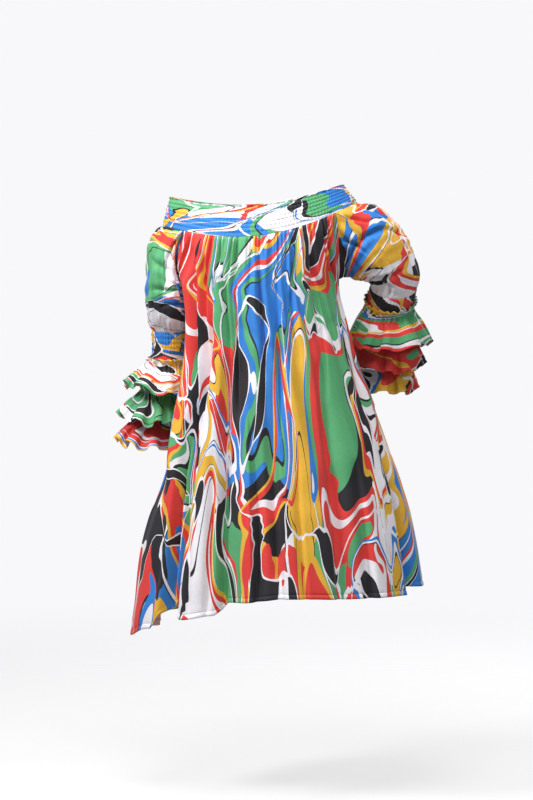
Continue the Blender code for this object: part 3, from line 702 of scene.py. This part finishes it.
# The gathers: how many, how unevenly they lie, sway and turn, how tall they and the long folds are, how much
# is left of them under the arm and half-way down, where they are fullest below the head, how far they reach
# from there and from the cuff, and the middle of a ridge's height
SLEEVE_GATHERS = 14
SLEEVE_DRIFT = 2.2
SLEEVE_SWAY = 0.9
SLEEVE_TURN = 1.2
GATHER_TALL = 0.0075
FOLD_TALL = 0.0048
BELOW_ARM = 0.35
SLEEVE_CALM = 0.28
HEAD_GATHERS = 0.08
HEAD_REACH = 0.16
CUFF_REACH = 0.17
SLEEVE_MIDDLE = 0.6
SLEEVE_RUMPLE = 1.3
SLEEVE_CUT = (0.53, 0.24)
# The cloth's size round the arm and down it on which the creases are laid out
SLEEVE_ROUND = 0.42
SLEEVE_LENGTH = 0.20

# Creases on one half of a sleeve, laid flat: across from the middle of its back or front, towards the body,
# and down from the head
SLEEVE_CREASES = {
    "left": [
        Crease(-0.042, -0.010, -0.040, -0.196, 0.003, 0.013, 0.010, -1),
        Crease(-0.012, -0.006, -0.004, -0.095, 0.003, 0.008, 0.008, 1),
        Crease(0.022, -0.006, 0.030, -0.085, -0.003, 0.008, 0.008, -1),
        Crease(0.054, -0.015, 0.046, -0.190, 0.004, 0.012, 0.010, 1),
        Crease(-0.050, -0.112, 0.040, -0.098, 0.006, 0.006, 0.008, 1),
        Crease(-0.030, -0.146, 0.060, -0.136, -0.006, 0.006, 0.008, -1),
        Crease(-0.070, -0.072, 0.010, -0.062, 0.005, 0.005, 0.008, 0),
        Crease(0.006, -0.174, 0.010, -0.205, 0.002, 0.006, 0.006, 1),
        Crease(-0.020, -0.160, -0.018, -0.205, 0.002, 0.006, 0.006, -1),
    ],
    "right": [
        Crease(0.080, -0.026, -0.074, -0.104, 0.010, 0.012, 0.011, 1),
        Crease(0.044, -0.006, 0.020, -0.080, 0.004, 0.009, 0.008, -1),
        Crease(0.092, -0.015, 0.074, -0.130, 0.004, 0.010, 0.010, 1),
        Crease(-0.008, -0.006, -0.040, -0.070, -0.004, 0.008, 0.008, -1),
        Crease(-0.060, -0.010, -0.084, -0.090, -0.004, 0.007, 0.009, 1),
        Crease(0.066, -0.124, -0.034, -0.146, -0.008, 0.008, 0.009, 1),
        Crease(0.090, -0.150, 0.004, -0.176, 0.005, 0.008, 0.008, -1),
        Crease(-0.078, -0.120, -0.046, -0.192, 0.004, 0.008, 0.008, 1),
        Crease(0.020, -0.160, 0.024, -0.205, 0.002, 0.007, 0.006, -1),
    ],
}


def level_out(share, angle):
    """The level direction out of the body's cloth."""
    ahead = body_points(share, angle + 0.02, np.zeros(np.shape(angle)))
    behind = body_points(share, angle - 0.02, np.zeros(np.shape(angle)))
    along = ahead - behind
    return unit(np.stack([along[..., 1], -along[..., 0], 0.0 * along[..., 0]], -1))


def armhole_loop(side):
    """The closed line of a sleeve's head and the level direction out along it: down the back armhole, up the
    front one, and back under the neckband over the arm."""
    left = side == "left"
    underarm = SECTIONS[LEFT_UNDERARM if left else RIGHT_UNDERARM].share
    facing = 0.0 if left else 180.0
    turn = 1.0 if left else -1.0
    down = np.linspace(0.0, underarm, SEAM_COLUMNS, endpoint=False)
    share = np.concatenate([down, underarm - down, np.zeros(OVER_ARM_COLUMNS)])
    section = section_at(share)
    edge = section.left_edge if left else section.right_edge
    over = np.linspace(-1.0, 1.0, OVER_ARM_COLUMNS, endpoint=False)
    sign = np.concatenate([np.ones(SEAM_COLUMNS), -np.ones(SEAM_COLUMNS), over])
    angle = facing + turn * sign * edge
    return body_points(share, angle, np.zeros(len(angle))), level_out(share, angle)


def clear_of_body(points):
    """The same points, moved out where they would come nearer than CLEARANCE to the body."""
    centre = section_at(BODY_MIDDLE)
    across = (points[:, 0] - centre.x) / centre.half_width
    angle = np.degrees(np.arctan2(points[:, 1] / centre.half_depth, across))
    top = ring_height(BAND_BOTTOM, angle)
    share = np.clip((top - points[:, 2]) / (top - hem_height(angle)), 0.0, 1.0)
    section = section_at(share)
    across = (points[:, 0] - section.x) / section.half_width
    angle = np.degrees(np.arctan2(points[:, 1] / section.half_depth, across))
    out = level_out(share, angle)
    distance = np.sum((points - body_points(share, angle, np.zeros(len(angle)))) * out, -1)
    return points + out * np.maximum(CLEARANCE - distance, 0.0)[:, None]


def hoop_points(hoop, side, turn, out):
    """Points round a hoop at angles from its over-arm side towards the back, moved out in its own plane."""
    tilt = math.radians(hoop.tilt)
    lean = math.radians(hoop.lean)
    over = np.array([math.sin(tilt) * (1.0 if side == "left" else -1.0), 0.0, math.cos(tilt)])
    back = np.array([0.0, math.cos(lean), -math.sin(lean)])
    turn = np.radians(turn)
    points = np.array([hoop.x, hoop.y, hoop.z]) + over * hoop.over * np.cos(turn)[:, None]
    points = points + back * hoop.side * np.sin(turn)[:, None]
    normal = unit(over * (np.cos(turn) / hoop.over)[:, None] + back * (np.sin(turn) / hoop.side)[:, None])
    return points + normal * np.broadcast_to(out, turn.shape)[:, None]


def through_rows(rows, count):
    """A smooth surface through rows of points, its share of the way down, and the second row's share."""
    steps = np.linalg.norm(np.diff(np.array(rows), axis=0), axis=2).mean(axis=1)
    keys = np.concatenate([[0.0], np.cumsum(steps)]) / np.sum(steps)
    share = np.linspace(0.0, 1.0, count)
    return soft_steps(keys, rows, share), share[:, None], keys[1]


def grid_normals(grid, side):
    """Directions out of a closed tube of rows."""
    round_it = np.roll(grid, -1, axis=1) - np.roll(grid, 1, axis=1)
    down = np.gradient(grid, axis=0)
    return unit(np.cross(round_it, down)) * (-1.0 if side == "left" else 1.0)


def make_sleeve(side, seed):
    count = OVER_ARM_COLUMNS + 2 * SEAM_COLUMNS
    loop, out = armhole_loop(side)
    step = 360.0 / count
    turn = OVER_ARM_COLUMNS / 2 * step + step * np.arange(count)
    over_arm = BELOW_ARM + (1.0 - BELOW_ARM) * (0.5 + 0.5 * np.cos(np.radians(turn)))
    along = unit(np.roll(loop, -1, axis=0) - np.roll(loop, 1, axis=0))
    away = unit(np.cross(along, out)) * (1.0 if side == "left" else -1.0)
    rows = [loop + away * SEAM, loop + away * ROLL_ALONG + out * ROLL_OUT]
    for hoop in SLEEVES[side]:
        rows.append(clear_of_body(hoop_points(hoop, side, turn, 0.0)))
    puffed = np.array([0.0, 0.0, HEAD_PUFF]) * over_arm[:, None] ** 2
    head = rows[1] + (rows[2] - rows[1]) * HEAD_PLACE + puffed
    rows.insert(2, clear_of_body(head))
    grid, share, _ = through_rows(rows, SLEEVE_ROWS)
    around = np.radians(turn) * np.ones((SLEEVE_ROWS, 1))
    phase = SLEEVE_GATHERS * around + SLEEVE_DRIFT * wander(around, seed, (1, 2, 3, 5))
    phase = phase + SLEEVE_SWAY * np.sin(3.0 * share + seed)
    phase = phase + SLEEVE_TURN * share * wander(around, seed + 5.0, (1, 2, 4))
    head_end = np.exp(-((share - HEAD_GATHERS) / HEAD_REACH) ** 2)
    cuff_end = np.exp(-((share - 1.0) / CUFF_REACH) ** 2)
    tall = GATHER_TALL * (0.8 + 0.4 * wander(around, seed + 1.0, (3, 5, 8)))
    swell = SLEEVE_CALM + (1.0 - SLEEVE_CALM) * np.maximum(head_end, cuff_end)
    swell = swell * ease(share / 0.05) * (1.0 - 0.75 * ease((share - 0.93) / 0.07))
    outward = tall * (ridges(np.cos(phase)) - SLEEVE_MIDDLE) * swell * over_arm
    arch = np.sin(math.pi * np.clip(share, 0.0, 1.0))
    outward += FOLD_TALL * wander(around + 0.5 * share, seed + 3.0, (3, 4, 6, 7)) * arch * over_arm
    outward += rumple(around / 3.0, share, seed) * SLEEVE_RUMPLE * arch**0.5
    settle = ease(share / 0.06) * (1.0 - ease((share - 0.95) / 0.05))
    down = -SLEEVE_LENGTH * share * np.ones(count)
    for half in (90.0, 270.0):
        across = turned(turn, half) / 360.0 * SLEEVE_ROUND * np.ones((SLEEVE_ROWS, 1))
        across = across * (1.0 if half == 90.0 else -1.0)
        outward -= settle * crease_depths(SLEEVE_CREASES[side], across, down)
    grid = grid + grid_normals(grid, side) * outward[..., None]
    # The cloth's own seam runs down from the underarm
    grid = np.roll(grid, -SEAM_COLUMNS, axis=1)
    flat = tube_cut(SLEEVE_CUT, share, count, seed)
    sleeve = lay_cloth(f"sleeve_{side}_cloth", grid, flat, True, cottons)
    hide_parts(f"sleeve_{side}")
    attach(sleeve, "root")


make_sleeve("left", 2.6)
make_sleeve("right", 0.9)

# Cuffs. Five rows of elastic thread draw in the top of a tube of cotton; below them the tube runs on plain,
# hidden by the ruffles sewn to it.
CUFFS = {
    "left": [
        SLEEVES["left"][-1],
        Hoop(0.213, -0.041, -0.318, 90, 8, 0.042, 0.053),
        Hoop(0.219, -0.047, -0.343, 90, 9, 0.048, 0.053),
        Hoop(0.230, -0.060, -0.404, 90, 12, 0.049, 0.052),
        Hoop(0.241, -0.074, -0.465, 90, 14, 0.048, 0.050),
        Hoop(0.243, -0.077, -0.477, 90, 14, 0.048, 0.050),
    ],
    "right": [
        SLEEVES["right"][-1],
        Hoop(-0.304, -0.050, -0.190, 90, 33, 0.053, 0.055),
        Hoop(-0.301, -0.060, -0.205, 90, 33, 0.053, 0.055),
        Hoop(-0.294, -0.095, -0.256, 90, 32, 0.052, 0.053),
        Hoop(-0.288, -0.127, -0.307, 90, 30, 0.050, 0.051),
        Hoop(-0.287, -0.133, -0.317, 90, 30, 0.050, 0.051),
    ],
}
CUFF_ELASTICS = 5
CUFF_COLUMNS = 300
CUFF_ROWS = {"left": 74, "right": 56}
CUFF_PUCKERS = 44
CUFF_CUT = {"left": (0.40, 0.23), "right": (0.40, 0.20)}
# The lowest and highest elastic, and how far below the first the puckers run on, as shares of the shirring
LOWEST_ELASTIC = 0.08
HIGHEST_ELASTIC = 0.92
RUN_ON = 0.2


def make_cuff(side, seed):
    turn = 360.0 / CUFF_COLUMNS * np.arange(CUFF_COLUMNS)
    rows = [hoop_points(hoop, side, turn, 0.0) for hoop in CUFFS[side]]
    grid, share, shirred = through_rows(rows, CUFF_ROWS[side])
    around = np.radians(turn) * np.ones((CUFF_ROWS[side], 1))
    height = 1.0 - share / shirred
    outward = shirring(height, around, CUFF_ELASTICS, LOWEST_ELASTIC, HIGHEST_ELASTIC, CUFF_PUCKERS)
    outward = outward * (height > -RUN_ON)
    grid = np.roll(grid + grid_normals(grid, side) * outward[..., None], CUFF_COLUMNS // 2, axis=1)
    cut = CUFF_CUT[side]
    flat = tube_cut(cut, share, CUFF_COLUMNS, seed)
    cuff = lay_cloth(f"cuff_{side}_cloth", grid, flat, True, cottons)
    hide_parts(f"cuff_{side}")
    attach(cuff, "root")


make_cuff("left", 5.2)
make_cuff("right", 6.4)

# Ruffles. Each is a long strip with a narrow hem, gathered on a stitch line round the cuff so that a small
# frill stands above the line and the rest falls in waves.
Ruffle = namedtuple("Ruffle", "drop out back flare lift kept")
RUFFLES = {
    "left": [
        Ruffle(0.078, 0.004, 0.000, 0.044, 0.030, 0.12),
        Ruffle(0.078, 0.006, -0.004, 0.046, 0.018, 0.10),
        Ruffle(0.084, 0.006, -0.006, 0.045, 0.030, 0.08),
    ],
    "right": [
        Ruffle(0.090, 0.004, -0.050, 0.046, 0.004, 0.66),
        Ruffle(0.088, 0.002, -0.048, 0.042, 0.000, 0.50),
        Ruffle(0.090, 0.004, -0.044, 0.038, 0.000, 0.45),
    ],
}
# Which of a cuff's hoops carries the first ruffle
FIRST_STITCH = 2
# The small frill above the stitch line: its height, how far it leans out and how far it waves
HEADING = 0.016
HEADING_FLARE = 0.004
HEADING_WAVE = 0.004
# The waves: how many, how tall, how far out, how much the hem rises and sags with them, how far they lean,
# and the fine gathers under the stitch line: how tall, where, and how far they reach
RUFFLE_WAVES = 12
HEM_WAVE = 0.021
WAVE_OUT = 0.14
HEM_RISE = 0.50
HEM_SAG = 0.007
WAVE_LEAN = 0.20
FINE_GATHER = 0.0024
FINE_PLACE = 0.10
FINE_REACH = 0.16
# Where round the arm the ruffles are pressed flat
PRESSED_SIDE = 150.0
PRESSED_HALF = 95.0
# How far down the middle row lies, how far it flares, and how much of the cuff's lean a ruffle loses
MIDDLE_DROP = 0.48
MIDDLE_FLARE = 0.50
LEVELLED = 0.7
RUFFLE_COLUMNS = 252
RUFFLE_ROWS = 32
RUFFLE_CUT = (0.64, 0.098)
RUFFLE_HEM = 0.007
RUFFLE_STITCH = 0.003
# How far out of the cuff's cloth a ruffle lies where it is sewn, and elsewhere
SEWN = 0.0030
CLEAR = 0.0044


def hoop_between(upper, lower, part):
    return Hoop(*(a + (b - a) * part for a, b in zip(upper, lower)))


def make_ruffle(side, tier, seed):
    hoops = CUFFS[side]
    stitch = hoops[FIRST_STITCH + tier]
    upper = hoops[FIRST_STITCH + tier - 1]
    ruffle = RUFFLES[side][tier]
    turn = 360.0 / RUFFLE_COLUMNS * np.arange(RUFFLE_COLUMNS)
    around = np.radians(turn)
    kept = 1.0 - (1.0 - ruffle.kept) * bump(turn, PRESSED_SIDE, PRESSED_HALF)
    gap = math.dist((upper.x, upper.y, upper.z), (stitch.x, stitch.y, stitch.z))
    heading = hoop_between(stitch, upper, HEADING / gap)
    rows = [
        hoop_points(heading, side, turn, CLEAR + HEADING_FLARE * kept),
        hoop_points(stitch, side, turn, SEWN),
    ]
    for drop, flare in ((MIDDLE_DROP, MIDDLE_FLARE), (1.0, 1.0)):
        level = stitch._replace(
            x=stitch.x + ruffle.out * drop,
            y=stitch.y + ruffle.back * drop,
            z=stitch.z - ruffle.drop * drop,
            lean=stitch.lean * (1.0 - LEVELLED * drop),
        )
        row = hoop_points(level, side, turn, CLEAR + ruffle.flare * flare * kept)
        row[:, 2] += ruffle.lift * flare * (0.5 + 0.5 * np.cos(around))
        rows.append(clear_of_body(row))
    grid, share, line = through_rows(rows, RUFFLE_ROWS)
    below = np.clip((share - line) / (1.0 - line), 0.0, 1.0)
    frill = np.clip((line - share) / line, 0.0, 1.0)
    uneven = wander(around, seed, (1, 2, 3, 5))
    phase = RUFFLE_WAVES * around + 1.5 * uneven + 0.6 * below * np.sin(2.0 * around + seed)
    tall = HEM_WAVE * (0.75 + 0.35 * wander(around, seed + 2.0, (2, 3, 5, 7)))
    normals = grid_normals(grid, side)
    outward = tall * below**0.9 * (0.5 * np.cos(phase) + WAVE_OUT) * kept
    rise = HEM_RISE * outward * below
    fine = np.cos(3.0 * phase + 1.0 + uneven) * np.exp(-((below - FINE_PLACE) / FINE_REACH) ** 2)
    outward = outward + FINE_GATHER * (fine * (below > 0))
    outward = outward + HEADING_WAVE * frill * np.cos(2.0 * phase + uneven) * kept
    above_edge = (1.0 - below) * ruffle.drop
    outward = outward - HEM_DENT * np.exp(-(((above_edge - RUFFLE_HEM) / RUFFLE_STITCH) ** 2))
    along = unit(np.roll(grid, -1, axis=1) - np.roll(grid, 1, axis=1))
    sideways = WAVE_LEAN * tall * below * np.sin(2.0 * phase) * kept
    grid = grid + normals * outward[..., None] + along * sideways[..., None]
    sag = HEM_SAG * below**1.5 * (0.6 + 0.9 * wander(around, seed + 4.0, (2, 3, 5))) * kept
    grid[..., 2] += rise - sag
    grid = np.roll(grid, RUFFLE_COLUMNS // 2, axis=1)
    flat = tube_cut(RUFFLE_CUT, share, RUFFLE_COLUMNS, seed)
    name = f"ruffle_{side}_{tier + 1}"
    frilled = lay_cloth(name + "_cloth", grid, flat, True, cottons)
    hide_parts(name)
    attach(frilled, "root")


for arm, first_seed in (("left", 1.1), ("right", 7.9)):
    for tier in range(len(RUFFLES[arm])):
        make_ruffle(arm, tier, first_seed + 2.3 * tier)

# Floor and background. White studio paper lies well below the hem and fades into a plain white surround.
FLOOR_LEVEL = -1.345
FLOOR_HALF = 12.0
# Where the paper starts to fade and where it is gone, and how much of it has gone below the dress
FADE_START = 0.9
FADE_END = 4.5
FADED_BELOW = 0.62
PAPER_TONE = {"To Min": 0.90, "To Max": 0.94}
AMBIENT = 0.13

floor_mesh = bpy.data.meshes.new("studio_paper")
corners = [(x * FLOOR_HALF, y * FLOOR_HALF, FLOOR_LEVEL) for x, y in ((-1, -1), (1, -1), (1, 1), (-1, 1))]
floor_mesh.from_pydata(corners, [], [(0, 1, 2, 3)])
floor = bpy.data.objects.new("studio_paper", floor_mesh)
bpy.context.scene.collection.objects.link(floor)
paper = bpy.data.materials.new("matt_white_paper")
paper.use_nodes = True
paper_shader = paper.node_tree.nodes["Principled BSDF"]
fibres = add(paper, "TexNoise", {"Scale": 90.0, "Detail": 3.0})
tone = add(paper, "MapRange", {"Value": fibres.outputs["Fac"]} | PAPER_TONE)
paper.node_tree.links.new(tone.outputs[0], paper_shader.inputs["Base Color"])
paper_shader.inputs["Roughness"].default_value = 0.95
paper_shader.inputs["Specular IOR Level"].default_value = 0.1
place = add(paper, "NewGeometry").outputs["Position"]
level_place = add(paper, "VectorMath", {0: place, 1: (1.0, 1.0, 0.0)}, operation="MULTIPLY").outputs[0]
distance = add(paper, "VectorMath", {0: level_place}, operation="LENGTH").outputs["Value"]
fading = {"Value": distance, "From Min": FADE_START, "From Max": FADE_END, "To Min": FADED_BELOW}
faded = add(paper, "MapRange", fading, interpolation_type="SMOOTHSTEP").outputs[0]
clear = add(paper, "BsdfTransparent").outputs[0]
both = add(paper, "MixShader", {"Fac": faded, 1: paper_shader.outputs[0], 2: clear}).outputs[0]
paper.node_tree.links.new(both, paper.node_tree.nodes["Material Output"].inputs["Surface"])
floor_mesh.materials.append(paper)

world = bpy.data.worlds.new("white_surround")
world.use_nodes = True
bpy.context.scene.world = world
ambient = world.node_tree.nodes["Background"]
ambient.inputs["Color"].default_value = linear("F4F4F6")
ambient.inputs["Strength"].default_value = AMBIENT
seen = add(world, "Background", {"Color": linear("F8F8FA"), "Strength": 1.0}).outputs[0]
camera_ray = add(world, "LightPath").outputs["Is Camera Ray"]
both = add(world, "MixShader", {"Fac": camera_ray, 1: ambient.outputs[0], 2: seen}).outputs[0]
world.node_tree.links.new(both, world.node_tree.nodes["World Output"].inputs["Surface"])

# Studio lamps. Two soft boxes stand behind the camera on either side, the brighter one on its left, with one
# overhead and one in front of the dress, so that the folds keep soft shadows.
AIM = Vector((0.0, 0.0, -0.45))
Lamp = namedtuple("Lamp", "name place size power")
LAMPS = [
    Lamp("key", (2.0, 1.3, 1.45), 0.7, 72.0),
    Lamp("fill", (-2.1, 1.7, 0.80), 0.9, 14.0),
    Lamp("top", (0.2, 1.3, 1.5), 1.0, 42.0),
    Lamp("front", (-1.9, -3.2, 1.5), 1.4, 125.0),
]
for lamp in LAMPS:
    lamp_data = bpy.data.lights.new(lamp.name, "AREA")
    lamp_data.size = lamp.size
    lamp_data.energy = lamp.power
    box = bpy.data.objects.new(lamp.name, lamp_data)
    box.location = lamp.place
    towards = AIM - box.location
    box.rotation_euler = towards.to_track_quat("-Z", "Y").to_euler()
    bpy.context.scene.collection.objects.link(box)

bpy.context.scene.view_settings.view_transform = "Standard"
